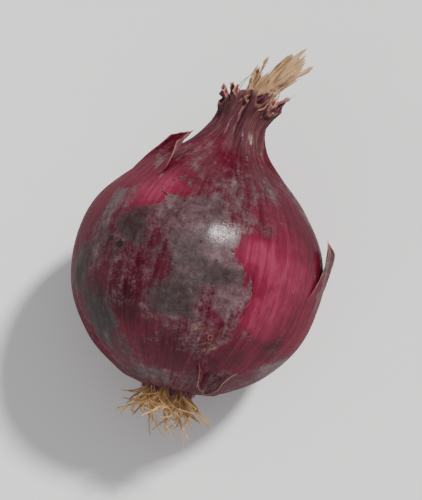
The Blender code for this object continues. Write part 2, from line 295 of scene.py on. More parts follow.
def skin_marks(height, phi):
    """What the skin's colour is made from, at every point of the skin. "skin" holds coordinates that run
    with its lengthwise fibres, in units of the bulb's radius."""
    def noise(seed, turns, pace):
        return ring_noise(seed, turns, phi, height * pace)

    warped_phi = phi + 0.09 * noise(21, 17, 14) + 0.06 * noise(28, 43, 36)
    warped_height = height + 0.020 * noise(22, 15, 15) + 0.013 * noise(29, 45, 38)
    warped = (warped_height, warped_phi)
    turn = np.abs((phi + math.pi) % math.tau - math.pi)
    hidden = smoothstep(math.radians(75), math.radians(105), turn)
    film = 0.50 + (0.03 + 0.42 * hidden) * noise(23, 6, 4.5) + (0.06 + 0.22 * hidden) * noise(24, 13, 9)
    stripes = noise(27, 34, 3)
    values = {
        "film": film + spots(*warped, FILM) - 0.20 * smoothstep(0.66, 0.86, height),
        # dark blotches in the film; where this is lowered round the highlight, the paler film is painted
        # sheen
        "dark": 0.42 + 0.16 * noise(25, 9, 8) + spots(*warped, FILM_DARK_AND_SHEEN),
        # bare skin from crimson to magenta; beside the highlight it is raised partly as painted sheen
        "blush_and_sheen": 0.38 + 0.20 * noise(26, 10, 5) + spots(*warped, BLUSH_AND_SHEEN, 0.2),
        "dry": smoothstep(0.76, 0.97, height + 0.06 * stripes)
        + smoothstep(0.10, 0.015, height + 0.012 * stripes),
        "scar": spots(*warped, SCARS),
        "speck": spots(height, phi, SPECKS),
    }
    values = {key: np.clip(value, 0, 1) for key, value in values.items()}
    along = height * OUTLINE_LENGTH / BULB_RADIUS
    values["skin"] = np.stack(np.broadcast_arrays(np.cos(phi), np.sin(phi), along), axis=-1)
    return values


def linked(name, data):
    """A new object in the scene."""
    made = bpy.data.objects.new(name, data)
    bpy.context.scene.collection.objects.link(made)
    return made


def mesh_object(name, points, faces, values, material, crease=SHARP_ANGLE):
    """A smooth-shaded object; values hold one row for each point, of 1 or 3 numbers, for the material."""
    mesh = bpy.data.meshes.new(name)
    mesh.from_pydata(points.tolist(), [], faces)
    mesh.update()
    for key, value in values.items():
        kind, field = ("FLOAT_VECTOR", "vector") if value.shape[1] == 3 else ("FLOAT", "value")
        layer = mesh.attributes.new(key, kind, "POINT")
        layer.data.foreach_set(field, value.astype(np.float32).reshape(-1))
    mesh.shade_smooth()
    if crease:
        mesh.set_sharp_from_angle(angle=crease)
    mesh.materials.append(material)
    return linked(name, mesh)


def grid_faces(rows, columns, start=0, wrap=False):
    """Faces between the points of a grid; its points are numbered row by row from start."""
    faces = []
    last = columns if wrap else columns - 1
    for row in range(rows - 1):
        for column in range(last):
            here = start + row * columns + column
            beside = start + row * columns + (column + 1) % columns
            faces.append((here, beside, beside + columns, here + columns))
    return faces


def flipped(faces):
    return [face[::-1] for face in faces]


def tube_faces(rings, sides):
    """Faces of a closed tube: its side and its two flat ends."""
    faces = grid_faces(rings, sides, wrap=True)
    faces.append(tuple(range(sides))[::-1])
    faces.append(tuple(range((rings - 1) * sides, rings * sides)))
    return faces


def lathe(profile, gap, sides):
    """Axial, radius and phi at the points of a turned shape, and its faces."""
    line = smooth_line(profile, gap)
    phi = np.linspace(0, math.tau, sides, endpoint=False)
    axial, turn = np.meshgrid(line[:, 0], phi, indexing="ij")
    return axial, np.repeat(line[:, 1:], sides, axis=1), turn, tube_faces(len(line), sides)


def facing_out(points, faces):
    """The faces of a closed shape, turned round if they face into it."""
    fans = np.array([(face[0], *pair) for face in faces for pair in zip(face[1:], face[2:])])
    first, second, third = ((points - points.mean(axis=0))[fans[:, corner]] for corner in range(3))
    volume = (first * np.cross(second, third)).sum()
    return flipped(faces) if volume < 0 else faces


class Pile:
    """Gathers many small closed shapes and their values into one object."""

    def __init__(self):
        self.points = []
        self.faces = []
        self.values = {}
        self.count = 0

    def add(self, points, faces, values):
        points = points.reshape(-1, 3)
        self.points.append(points)
        self.faces += [tuple(index + self.count for index in face) for face in facing_out(points, faces)]
        self.count += len(points)
        for key, value in values.items():
            self.values.setdefault(key, []).append(value.reshape(len(points), -1))

    def add_sheet(self, middle, thickness, outward, values):
        """A thin closed sheet round a grid of middle points; outward points to its upper side."""
        rows, columns = middle.shape[:2]
        normal = np.cross(*np.gradient(middle, axis=(0, 1)))
        normal = normal / np.maximum(np.linalg.norm(normal, axis=-1, keepdims=True), 1e-12)
        sign = np.sign((normal * outward).sum()) or 1.0
        half = sign * normal * 0.5 * thickness
        count = rows * columns
        top = grid_faces(rows, columns)
        bottom = flipped(grid_faces(rows, columns, count))
        grid = np.arange(count).reshape(rows, columns)
        rim = np.concatenate([grid[:, 0], grid[-1, 1:], grid[-2::-1, -1], grid[0, -2:0:-1]]).tolist()
        side = [(here, after, after + count, here + count) for here, after in zip(rim, rim[1:] + rim[:1])]
        both = {key: np.stack([value, value]) for key, value in values.items()}
        both["side"] = np.repeat([0.0, 1.0], count)
        self.add(np.stack([middle + half, middle - half]), top + bottom + side, both)

    def add_tube(self, path, radii, sides, values):
        """A closed tube along a path; values hold one number or vector for each point of the path."""
        ahead = np.gradient(path, axis=0)
        ahead = ahead / np.linalg.norm(ahead, axis=1, keepdims=True)
        side = np.cross(ahead[0], TUBE_SIDE)
        sideways = []
        for direction in ahead:
            side = side - direction * np.dot(side, direction)
            side = side / np.linalg.norm(side)
            sideways.append(side)
        sideways = np.array(sideways)
        upwards = np.cross(ahead, sideways)
        angle = np.linspace(0, math.tau, sides, endpoint=False)[None, :, None]
        spoke = sideways[:, None] * np.cos(angle) + upwards[:, None] * np.sin(angle)
        points = path[:, None] + spoke * radii[:, None, None]
        spread = {key: np.repeat(value, sides, axis=0) for key, value in values.items()}
        self.add(points, tube_faces(len(path), sides), spread)

    def finish(self, name, material):
        values = {key: np.concatenate(parts) for key, parts in self.values.items()}
        return mesh_object(name, np.concatenate(self.points), self.faces, values, material)


class Shading:
    """Short calls for the nodes of a material or world. A value is a number, a tuple or an output."""

    def __init__(self, name, owners=bpy.data.materials, shader="Principled BSDF"):
        self.owner = owners.new(name)
        self.owner.use_nodes = True
        self.tree = self.owner.node_tree
        self.shader = self.tree.nodes[shader]

    def put(self, socket, value):
        if isinstance(value, bpy.types.NodeSocket):
            self.tree.links.new(value, socket)
        elif isinstance(value, tuple) and socket.type == "RGBA":
            socket.default_value = (*value, 1)
        else:
            socket.default_value = value

    def node(self, kind, inputs, output, **settings):
        """An output of a new node; inputs are values by the name or number of their socket."""
        made = self.tree.nodes.new(kind)
        for key, value in settings.items():
            setattr(made, key, value)
        for key, value in inputs.items():
            self.put(made.inputs[key], value)
        return made.outputs[output]

    def surface(self, **values):
        """The material or world, with its shader's sockets set; an underscore stands for a space."""
        for key, value in values.items():
            self.put(self.shader.inputs[key.replace("_", " ")], value)
        return self.owner

    def place(self, kind="Object"):
        return self.node("ShaderNodeTexCoord", {}, kind)

    def value(self, name, output="Fac"):
        return self.node("ShaderNodeAttribute", {}, output, attribute_name=name)

    def vector(self, name):
        return self.value(name, "Vector")

    def noise(self, vector, scale, detail=3.0, roughness=0.55, distortion=0.0):
        inputs = dict(Vector=vector, Scale=scale, Detail=detail, Roughness=roughness, Distortion=distortion)
        return self.node("ShaderNodeTexNoise", inputs, "Fac")

    def streaky(self, vector, factors, *settings):
        """Noise that is drawn out along the axes with small factors."""
        kind = "ShaderNodeVectorMath"
        drawn = self.node(kind, {0: vector, 1: factors}, "Vector", operation="MULTIPLY")
        return self.noise(drawn, *settings)

    def calc(self, operation, *values):
        return self.node("ShaderNodeMath", dict(enumerate(values)), "Value", operation=operation)

    def add(self, *terms):
        """The sum of terms, each a value or a pair of a value and its weight."""
        total = 0.0
        for term in terms:
            if isinstance(term, tuple):
                total = self.calc("MULTIPLY_ADD", *term, total)
            else:
                total = self.calc("ADD", term, total)
        return total

    def times(self, first, second):
        return self.calc("MULTIPLY", first, second)

    def vary(self, value, amount):
        """A noise value turned into one round 0, so that it can be added."""
        return self.calc("MULTIPLY_ADD", value, amount, -0.5 * amount)

    def step(self, value, low, high, bottom=0.0, top=1.0):
        inputs = dict(enumerate((value, low, high, bottom, top)))
        return self.node("ShaderNodeMapRange", inputs, "Result", interpolation_type="SMOOTHSTEP")

    def blend(self, factor, first, second):
        return self.node("ShaderNodeMix", {"Factor": factor, 6: first, 7: second}, 2, data_type="RGBA")

    def ramp(self, value, stops):
        """Colours by value; each stop is a place from 0 to 1 and a colour."""
        made = self.tree.nodes.new("ShaderNodeValToRGB")
        elements = made.color_ramp.elements
        while len(elements) < len(stops):
            elements.new(0.5)
        for element, (place, *colour) in zip(elements, stops):
            element.position = place
            element.color = (*colour, 1)
        self.put(made.inputs["Fac"], value)
        return made.outputs["Color"]

    def bump(self, height, depth, below=None):
        """Relief of the given depth where height goes from 0 to 1, on top of what is below."""
        inputs = {"Distance": depth, "Height": height} | ({"Normal": below} if below else {})
        return self.node("ShaderNodeBump", inputs, "Normal")


def onion_skin():
    """Glossy crimson to magenta skin under a dull grey-brown film that has flaked off in places."""
    m = Shading("onion_skin")
    place = m.place()
    skin = m.vector("skin")
    film = m.value("film")
    dark = m.value("dark")
    dry = m.value("dry")

    streaks = m.streaky(skin, (1, 1, 0.10), 26, 4, 0.60)
    fibres = m.streaky(skin, (1, 1, 0.05), 95, 3, 0.60)
    blotches = m.streaky(skin, (1, 1, 0.45), 6.5, 5, 0.65, 0.4)
    mottle = m.noise(place, 620, 4, 0.68)
    grain = m.noise(place, 2100, 2, 0.60)

    # Bare skin: deep crimson through magenta to pink, in lengthwise streaks; beside the highlight the pink
    # is partly painted sheen
    bare_tone = m.add(
        m.value("blush_and_sheen"), m.vary(streaks, 0.90), m.vary(fibres, 0.50),
        m.vary(mottle, 0.40), m.vary(grain, 0.15),
    )
    bare = m.ramp(bare_tone, [
        (0.00, 0.036, 0.0020, 0.008), (0.25, 0.078, 0.0042, 0.015), (0.50, 0.135, 0.0080, 0.027),
        (0.75, 0.190, 0.0150, 0.044), (1.00, 0.265, 0.0360, 0.074),
    ])

    # Film: from a dark greenish crust through grey-brown to a thin pinkish veil; round the highlight its
    # paler tone is painted sheen
    film_tone = m.add(
        0.86, (dark, -0.85), m.vary(blotches, 1.35),
        m.vary(mottle, 1.25), m.vary(grain, 0.60), m.vary(fibres, 0.25),
    )
    veil = m.ramp(film_tone, [
        (0.00, 0.024, 0.025, 0.024), (0.22, 0.046, 0.036, 0.035), (0.45, 0.067, 0.050, 0.052),
        (0.72, 0.114, 0.070, 0.077), (1.00, 0.178, 0.120, 0.130),
    ])
    cover_value = m.add(
        film, m.vary(blotches, 1.00), m.vary(mottle, 0.80), m.vary(grain, 0.60), m.vary(streaks, 0.50),
    )
    flakes = m.step(cover_value, 0.46, 0.56)
    cover = m.add((m.step(cover_value, 0.22, 0.85), 0.76), (flakes, 0.16))
    colour = m.blend(cover, bare, veil)

    # Dry brown and violet stripes where the skin narrows to the neck and round the roots
    stripe = m.streaky(skin, (1, 1, 0.07), 15, 4, 0.65)
    husk = m.ramp(m.add(0.45, m.vary(stripe, 1.35), m.vary(fibres, 0.60), m.vary(mottle, 0.45)), [
        (0.00, 0.032, 0.008, 0.014), (0.30, 0.078, 0.023, 0.035), (0.55, 0.130, 0.051, 0.055),
        (0.80, 0.205, 0.104, 0.090), (1.00, 0.310, 0.185, 0.140),
    ])
    colour = m.blend(m.step(m.add(dry, m.vary(stripe, 0.60)), 0.15, 0.85), colour, husk)

    # Small dark specks, tan scars, and pale torn edges
    speck_room = m.step(m.noise(place, 95, 2), 0.50, 0.68)
    cells = m.node("ShaderNodeTexVoronoi", {"Vector": place, "Scale": 420}, "Distance")
    specks = m.times(m.step(cells, 0.22, 0.10), speck_room)
    placed = m.step(m.add(m.value("speck"), m.vary(mottle, 0.50)), 0.30, 0.80)
    specks = m.calc("MAXIMUM", specks, placed)
    colour = m.blend(m.times(specks, 0.75), colour, (0.013, 0.010, 0.009))
    curls = m.calc("ABSOLUTE", m.vary(m.noise(place, 520, 2, 0.50, 1.2), 1.0))
    scratch = m.step(curls, 0.030, 0.008)
    scar_room = m.add((m.value("scar"), 0.90), (m.step(blotches, 0.60, 0.72), 0.40))
    scar = m.times(scar_room, m.add((scratch, 0.85), (m.step(mottle, 0.56, 0.66), 0.60)))
    colour = m.blend(scar, colour, (0.240, 0.160, 0.090))
    under = m.ramp(streaks, [(0.30, 0.150, 0.034, 0.052), (0.70, 0.360, 0.175, 0.165)])
    colour = m.blend(m.times(m.value("side"), 0.85), colour, under)
    edge = m.times(m.value("edge"), m.step(mottle, 0.34, 0.62, 0.25, 0.75))
    colour = m.blend(edge, colour, (0.340, 0.185, 0.135))

    roughness = m.add(0.38, (cover, 0.12), (dry, 0.10), m.vary(mottle, 0.20))
    normal = m.bump(fibres, 0.012 * MM)
    normal = m.bump(cover, 0.022 * MM, normal)
    crumbs = m.add((mottle, 0.7), (grain, 0.3))
    normal = m.bump(m.times(crumbs, m.add(1.0, (dry, 2.2))), 0.022 * MM, normal)
    return m.surface(
        Base_Color=colour,
        Roughness=roughness,
        Normal=normal,
        Specular_IOR_Level=0.0,
        Coat_Weight=m.add(0.13, (dry, -0.095)),
        Coat_IOR=2.2,
        Coat_Roughness=0.24,
        Coat_Normal=normal,
    )


def collar_skin():
    """Torn satin skins of the collar: pale violet outside, magenta inside, tan at the edges."""
    m = Shading("collar_skin")
    grain = m.vector("grain")
    side = m.value("side")
    edge = m.value("edge")
    tone = m.value("tone")
    fibres = m.streaky(grain, (1, 0.06, 1), 2400, 4, 0.62)
    bands = m.streaky(grain, (1, 0.10, 1), 700, 3, 0.55)
    outer = m.ramp(m.add((bands, 0.9), (fibres, 0.4), tone, -0.45), [
        (0.00, 0.120, 0.022, 0.045), (0.35, 0.250, 0.075, 0.100), (0.65, 0.400, 0.210, 0.215),
        (1.00, 0.560, 0.360, 0.330),
    ])
    inner = m.ramp(m.add((bands, 1.0), (fibres, 0.3), -0.15), [
        (0.00, 0.090, 0.006, 0.020), (0.60, 0.250, 0.030, 0.065), (1.00, 0.420, 0.120, 0.140),
    ])
    colour = m.blend(side, outer, inner)
    colour = m.blend(m.times(edge, 0.85), colour, (0.500, 0.300, 0.180))
    return m.surface(
        Base_Color=colour,
        Roughness=m.add(0.34, (fibres, 0.25)),
        Normal=m.bump(fibres, 0.06 * MM),
        Specular_IOR_Level=0.50,
        Coat_Weight=0.15,
        Coat_Roughness=0.25,
    )


def dry_leaf():
    """Dried leaf ends: straw to tan, with darker lengthwise fibres."""
    m = Shading("dry_leaf")
    grain = m.vector("grain")
    tone = m.value("tone")
    edge = m.value("edge")
    fibres = m.streaky(grain, (1, 0.05, 1), 2600, 4, 0.62)
    bands = m.streaky(grain, (1, 0.12, 1), 420, 3, 0.60)
    stains = m.noise(grain, 260, 3, 0.60)
    colour = m.ramp(m.add((bands, 0.6), (fibres, 0.5), (stains, 0.5), tone, -0.45), [
        (0.00, 0.160, 0.080, 0.050), (0.25, 0.400, 0.235, 0.135), (0.50, 0.700, 0.460, 0.245),
        (0.75, 0.860, 0.630, 0.360), (1.00, 0.930, 0.770, 0.500),
    ])
    colour = m.blend(m.times(edge, 0.5), colour, (0.640, 0.460, 0.290))
    return m.surface(
        Base_Color=colour,
        Roughness=m.add(0.55, (fibres, 0.25)),
        Normal=m.bump(fibres, 0.10 * MM),
        Specular_IOR_Level=0.40,
    )


def dry_root():
    """Dry straw-coloured roots, darker towards their ends."""
    m = Shading("dry_root")
    grain = m.vector("grain")
    tone = m.value("tone")
    patches = m.streaky(grain, (1, 0.20, 1), 900, 3, 0.60)
    fine = m.streaky(grain, (1, 0.5, 1), 3000, 2, 0.60)
    colour = m.ramp(m.add((patches, 0.8), (fine, 0.3), tone, -0.50), [
        (0.00, 0.470, 0.270, 0.115), (0.30, 0.830, 0.570, 0.265), (0.65, 0.960, 0.760, 0.400),
        (1.00, 0.980, 0.870, 0.560),
    ])
    return m.surface(
        Base_Color=colour,
        Roughness=m.add(0.62, (fine, 0.20)),
        Normal=m.bump(fine, 0.05 * MM),
        Specular_IOR_Level=0.35,
    )


def root_plate():
    """Corky grey-brown plate that the roots grow from."""
    m = Shading("root_plate")
    place = m.place()
    lumps = m.noise(place, 700, 4, 0.65)
    crumbs = m.noise(place, 2400, 3, 0.60)
    colour = m.ramp(m.add((lumps, 0.9), (crumbs, 0.5), -0.20), [
        (0.00, 0.045, 0.026, 0.018), (0.45, 0.150, 0.088, 0.052), (1.00, 0.340, 0.220, 0.130),
    ])
    return m.surface(
        Base_Color=colour,
        Roughness=m.add(0.75, (crumbs, 0.20)),
        Normal=m.bump(m.add((lumps, 0.6), (crumbs, 0.4)), 0.30 * MM),
        Specular_IOR_Level=0.30,
    )


def floor_material():
    m = Shading("floor")
    tone = m.noise(m.place(), 9, 2, 0.5)
    return m.surface(
        Base_Color=m.ramp(tone, [(0.3, 0.91, 0.91, 0.91), (0.7, 0.94, 0.94, 0.94)]),
        Roughness=0.85,
        Specular_IOR_Level=0.20,
    )


def make_bulb_skin(material):
    """The whole bulb: the base hollow, the skin up to the crown, and the hollow in the neck."""
    phi = np.linspace(0, math.tau, SKIN_COLUMNS, endpoint=False)
    height = np.linspace(0, 1, SKIN_ROWS)
    axial, radius, normal_axial, normal_radius = (part[:, None] for part in outline_frame(height))
    level, turn = np.meshgrid(height, phi, indexing="ij")
    raised = relief(level, turn)
    tear = LIP_TEAR * ragged(31, phi / math.tau, 46)
    outer_axial = axial + normal_axial * raised + tear * smoothstep(0.93, 1.0, height)[:, None]
    outer_radius = radius + normal_radius * raised

    crown = smooth_line(CROWN_WALL, CROWN_GAP)
    crown_axial = crown[:, :1] + tear * smoothstep(36 * MM, 39 * MM, crown[:, :1])
    crown_radius = crown[:, 1:] + 0.12 * MM * ring_noise(32, 40, phi[None, :], crown[:, :1] / MM)
    base_axial = np.repeat(BASE_WALL[:, :1], SKIN_COLUMNS, axis=1)
    base_radius = BASE_WALL[:, 1:] + 0.15 * MM * ring_noise(33, 24, phi[None, :], base_axial[:, :1] / MM)

    all_axial = np.concatenate([base_axial, outer_axial, crown_axial])
    all_radius = np.concatenate([base_radius, outer_radius, crown_radius])
    all_phi = np.broadcast_to(phi, all_axial.shape)
    all_height = np.concatenate([np.zeros_like(base_axial), level, np.ones_like(crown_axial)])
    rings = skin_point(all_axial, all_radius, all_phi)
    rows = len(rings)
    poles = bent_point(np.array([BASE_FLOOR, CROWN_FLOOR]), 0.0, 0.0)
    points = np.concatenate([rings.reshape(-1, 3), poles])
    faces = flipped(grid_faces(rows, SKIN_COLUMNS, wrap=True))
    low = rows * SKIN_COLUMNS
    high = low + 1
    last_row = low - SKIN_COLUMNS
    for column in range(SKIN_COLUMNS):
        beside = (column + 1) % SKIN_COLUMNS
        faces += [(low, column, beside), (high, last_row + beside, last_row + column)]

    values = skin_marks(all_height, all_phi)
    inside = np.zeros_like(all_height)
    inside[-len(crown) + 1:] = 1.0
    values["side"] = inside
    values["edge"] = 0.8 * smoothstep(0.985, 1.0, all_height) * (1 - inside)
    flat = {key: value.reshape(rows * SKIN_COLUMNS, -1) for key, value in values.items()}
    poled = {key: np.concatenate([value, value[:1], value[-1:]]) for key, value in flat.items()}
    return mesh_object("bulb_skin", points, facing_out(points, faces), poled, material, crease=None)


def sheet_grid(across, along, start=0.0):
    """u from -1 to 1 across a sheet, v from start to 1 along it, and u as a share from 0 to 1."""
    u, v = np.meshgrid(np.linspace(-1, 1, across), np.linspace(start, 1, along), indexing="ij")
    return u, v, (u + 1) / 2


def torn_edge(u, v, side, end):
    """1 at the sides and the free end of a sheet, and 0 away from them."""
    return np.maximum(smoothstep(side, 0.0, 1 - np.abs(u)), smoothstep(end, 1.0, v))


def skin_sheet(pile, height, phi, lift, edge, film, thickness=SHEET_THICKNESS):
    """A sheet that lies on the skin, lifted off it and with so much more film at each of its points."""
    axial, radius, normal_axial, normal_radius = outline_frame(height)
    out = lift + relief(height, phi)
    middle = skin_point(axial + normal_axial * out, radius + normal_radius * out, phi)
    outward = middle - to_world(0.0, 0.0, 0.0)
    values = skin_marks(height, phi)
    values["film"] = np.clip(values["film"] + film, 0, 1)
    values["edge"] = edge
    pile.add_sheet(middle, thickness, outward, values)


def long_flap(pile, seed, middle, half_width, fixed, tip, lift, skew, film):
    """Loose skin, fixed at one height and torn to an uneven end at the other; middle is in degrees."""
    u, v, share = sheet_grid(61, 61, 0.22)
    corners = 0.13 * np.abs(u) ** 4 * v
    reach = 1 - 0.14 * (0.5 - 0.5 * np.cos(2.6 * u + seed)) + 0.08 * ragged(seed, share, 8) * v - corners
    height = fixed + (tip - fixed) * v * reach
    _, radius, _, _ = outline_frame(height)
    uneven = 1 + 0.10 * np.sin(9 * v + 3 * u) + 0.09 * ragged(seed + 1, v, 12) * v
    width = half_width * (1 - 0.66 * v ** 1.7) * uneven
    phi = math.radians(middle) + skew * v + width * u / radius
    free = smoothstep(0.40, 1.0, v)
    curl = 0.85 * MM * u * u * free + 0.40 * MM * np.sin(4 * u + seed) * free ** 2
    rolled = 0.9 * MM * smoothstep(0.75, 1.0, v) ** 2 * (0.6 + 0.4 * ragged(seed + 2, share, 5))
    up = -SHEET_SUNK + (lift + SHEET_SUNK) * v ** 2.1 + curl + rolled
    to_side = 1 - np.abs(u)
    edge = np.maximum(smoothstep(0.05, 0.0, to_side) * smoothstep(0.45, 0.7, v), smoothstep(0.97, 1.0, v))
    skin_sheet(pile, height, phi, up, edge, film * smoothstep(0.5, 0.9, v))


def side_flap(pile, seed, level, half_height, fixed, free, lift):
    """A film edge that runs lengthwise: fixed at one angle and torn free at another, in degrees."""
    u, v, share = sheet_grid(81, 25)
    ends = 1 - 0.75 * np.abs(u) ** 3
    reach = ends * (1 + 0.35 * ragged(seed, share, 11))
    height = level + half_height * u * (1 + 0.03 * v)
    start = math.radians(fixed)
    phi = start + (math.radians(free) - start) * v * reach
    up = -FILM_SUNK + (lift + FILM_SUNK) * v ** 1.5 * ends
    edge = 0.55 * smoothstep(0.93, 1.0, v)
    skin_sheet(pile, height, phi, up, edge, 0.35 * smoothstep(0.2, 0.7, v), FILM_THICKNESS)


def add_loose_skin(pile):
    long_flap(pile, 41, 80, 9.5 * MM, 0.28, 0.60, 1.3 * MM, 0.10, 0.20)
    long_flap(pile, 43, 36, 6.5 * MM, 0.27, 0.10, 1.4 * MM, -0.12, 0.05)
    long_flap(pile, 45, -52, 6.5 * MM, 0.59, 0.84, 2.4 * MM, 0.08, -0.10)
    long_flap(pile, 47, -145, 8.0 * MM, 0.50, 0.74, 1.6 * MM, -0.10, 0.15)


def add_film_edges(pile):
    side_flap(pile, 51, 0.375, 0.080, 23, 30, 0.16 * MM)
    side_flap(pile, 52, 0.63, 0.060, -12, -23, 0.20 * MM)
    side_flap(pile, 53, 0.60, 0.110, 128, 112, 0.35 * MM)
    side_flap(pile, 54, 0.38, 0.140, -118, -101, 0.30 * MM)
    side_flap(pile, 55, 0.30, 0.090, 150, 166, 0.30 * MM)


def crumple(seed, u, v):
    """Sharp uneven creases from -1 to 1, as on a dry leaf; u and v run over the sheet."""
    rng = np.random.default_rng(seed)
    total = np.zeros_like(u)
    for _ in range(CREASES):
        heading = rng.uniform(0, math.pi)
        pace = rng.uniform(1.5, 4.5)
        along = u * math.cos(heading) + 2.5 * v * math.sin(heading)
        total = total + (1 - 2 * np.abs(np.sin(pace * along + rng.uniform(0, math.pi)))) / CREASES
    return total


def add_free_sheet(pile, seed, shape, place, tone, edge, size, thickness=LEAF_THICKNESS):
    """A dry sheet that stands off the skin. place holds the axial, radius and phi of its points, and
    size the width and length that its fibres follow."""
    u, v = shape
    axial, radius, phi = place
    width, length = size
    middle = bent_point(axial, radius, phi)
    outward = middle - bent_point(axial, 0.0, phi)
    shift = np.random.default_rng(seed).uniform(0, 0.5, 3)
    grain = np.stack([u * width / 2 + shift[0], v * length + shift[1], np.full_like(u, shift[2])], axis=-1)
    values = {"grain": grain, "tone": np.full_like(u, tone), "edge": edge}
    pile.add_sheet(middle, thickness, outward, values)


def thread_grain(v, shift):
    """Fibre coordinates along a thread or a root."""
    return np.stack([0 * v, v * 12 * MM, 0 * v + shift], axis=-1)


TONGUE_COUNT = 6
TONGUE_BASE = 33.0 * MM
TONGUE_RADIUS = 4.8 * MM
TONGUE_WIDTH = 4.6 * MM
TONGUE_SEED = 3
SMALL_TONGUE_COUNT = 8
SMALL_TONGUE_SEED = 61
RING_WIDTH = 30 * MM


def add_tongue(pile, seed, around, rise, flare, base_radius, wide, tone):
    """A torn tongue of the collar: it grows out of the neck's wall and curls outwards."""
    u, v, share = sheet_grid(31, 37)
    ruffle = 0.24 * MM * np.sin(6 * u + seed) * v + 0.50 * MM * crumple(seed, u, v) * smoothstep(0.1, 0.7, v)
    radius = base_radius + flare * v ** 2.2 + ruffle
    width = 0.5 * wide * (1 - 0.45 * v ** 2) * (1 + 0.22 * ragged(seed, v, 11) * v)
    axial = TONGUE_BASE + rise * (v - 0.18 * v ** 3) - 0.5 * MM * np.abs(u) * v
    axial = axial + 1.5 * MM * ragged(seed + 1, share, 6) * smoothstep(0.45, 1.0, v)
    phi = around + 0.25 * v + width * u / radius
    edge = torn_edge(u, v, 0.14, 0.93)
    add_free_sheet(pile, seed, (u, v), (axial, radius, phi), tone, edge, (wide, rise))


def add_collar_ring(pile, seed, radius_low, radius_high, rise, tone):
    """A layer of dry skin all round inside the crown, open down one side and torn along its top."""
    around, v = np.meshgrid(np.linspace(0, 1, 181), np.linspace(0, 1, 25), indexing="ij")
    turn = math.tau * around + seed
    torn = 1.7 * MM * ragged(seed, around, 13) * smoothstep(0.4, 1.0, v)
    axial = TONGUE_BASE + 0.3 * MM + rise * v + torn
    folds = 0.28 * np.cos(7 * turn + 1.3 + seed) + 0.22 * np.cos(13 * turn + seed)
    folds = folds + 0.55 * crumple(seed, 9 * around, v) * v
    spiral = 0.35 * MM * (around - 0.5)
    radius = radius_low + (radius_high - radius_low) * v ** 1.6 + folds * MM * (0.4 + 0.6 * v) + spiral
    place = (axial, radius, turn * 0.985)
    edge = smoothstep(0.93, 1.0, v)
    add_free_sheet(pile, seed, (around * 2, v), place, tone, edge, (RING_WIDTH, rise))


def add_neck_collar(pile):
    rng = random.Random(TONGUE_SEED)
    for index in range(TONGUE_COUNT):
        around = math.tau * (index + 0.4 * rng.random()) / TONGUE_COUNT
        rise = rng.uniform(8.0, 11.5) * MM
        flare = rng.uniform(1.6, 4.2) * MM
        add_tongue(pile, 60 + index, around, rise, flare, TONGUE_RADIUS, TONGUE_WIDTH, 0.05)
    extra = random.Random(SMALL_TONGUE_SEED)
    for index in range(SMALL_TONGUE_COUNT):
        around = math.tau * (index + extra.uniform(0.2, 0.8)) / SMALL_TONGUE_COUNT
        rise = extra.uniform(5.5, 8.5) * MM
        flare = extra.uniform(0.6, 2.4) * MM
        base_radius = extra.uniform(4.3, 5.3) * MM
        wide = extra.uniform(2.4, 4.2) * MM
        add_tongue(pile, 70 + index, around, rise, flare, base_radius, wide, extra.uniform(-0.15, 0.15))
    add_collar_ring(pile, 81, 4.7 * MM, 5.2 * MM, 6.6 * MM, 0.05)
    add_collar_ring(pile, 82, 4.0 * MM, 4.3 * MM, 7.4 * MM, -0.05)


LEAF_COUNT = 7
LEAF_BASE = 37.0 * MM
LEAF_START = 1.5 * MM
LEAF_WIDTH = 4.2 * MM
LEAF_SEED = 5
LEAF_SPLITS = 3
SPLIT_SEED = 92
SMALL_LEAF_COUNT = 12
SMALL_LEAF_SEED = 91
PLUG_PROFILE = MM * np.array([(43.0, 0.4), (42.4, 1.5), (40.5, 2.6), (38.0, 3.2), (33.2, 3.3)])
PLUG_GAP = 0.4 * MM
PLUG_SIDES = 96
THREAD_BASE = 36 * MM
THREAD_COUNT = 16
THREAD_SEED = 121
THREAD_POINTS = 22
THREAD_SIDES = 5


def add_leaf(pile, seed, around, tip, spread, turn, wide, start, tone):
    """One dried leaf end: a papery strip, cupped, creased and twisted, with a torn blunt tip."""
    u, v, share = sheet_grid(21, 45)
    frayed = 1 + 0.20 * ragged(seed, share, 5) * smoothstep(0.45, 1.0, v)
    axial = LEAF_BASE + (tip - LEAF_BASE) * v * frayed
    out = start + spread * v ** 2 + 0.35 * MM * np.sin(5 * v + seed) * v
    facing = around + turn * v + 0.25 * np.sin(4 * v + 2 * seed) * v
    side = 0.5 * wide * (1 - 0.35 * v ** 1.5) * (1 + 0.14 * ragged(seed + 1, v, 9)) * u
    cup = 0.26 * wide * (u * u - 0.4) * (1 - 0.4 * v)
    creased = (0.12 * wide + 0.14 * MM) * crumple(seed + 3, u, v) * smoothstep(0.05, 0.4, v)
    bow = cup + 0.03 * wide * np.cos(9 * u + seed) + creased
    x = out * np.sin(around) + side * np.cos(facing) - bow * np.sin(facing)
    y = -out * np.cos(around) + side * np.sin(facing) + bow * np.cos(facing)
    place = (axial, np.hypot(x, y), np.arctan2(x, -y))
    edge = torn_edge(u, v, 0.10, 0.95)
    add_free_sheet(pile, seed, (u, v), place, tone, edge, (wide, tip - LEAF_BASE))


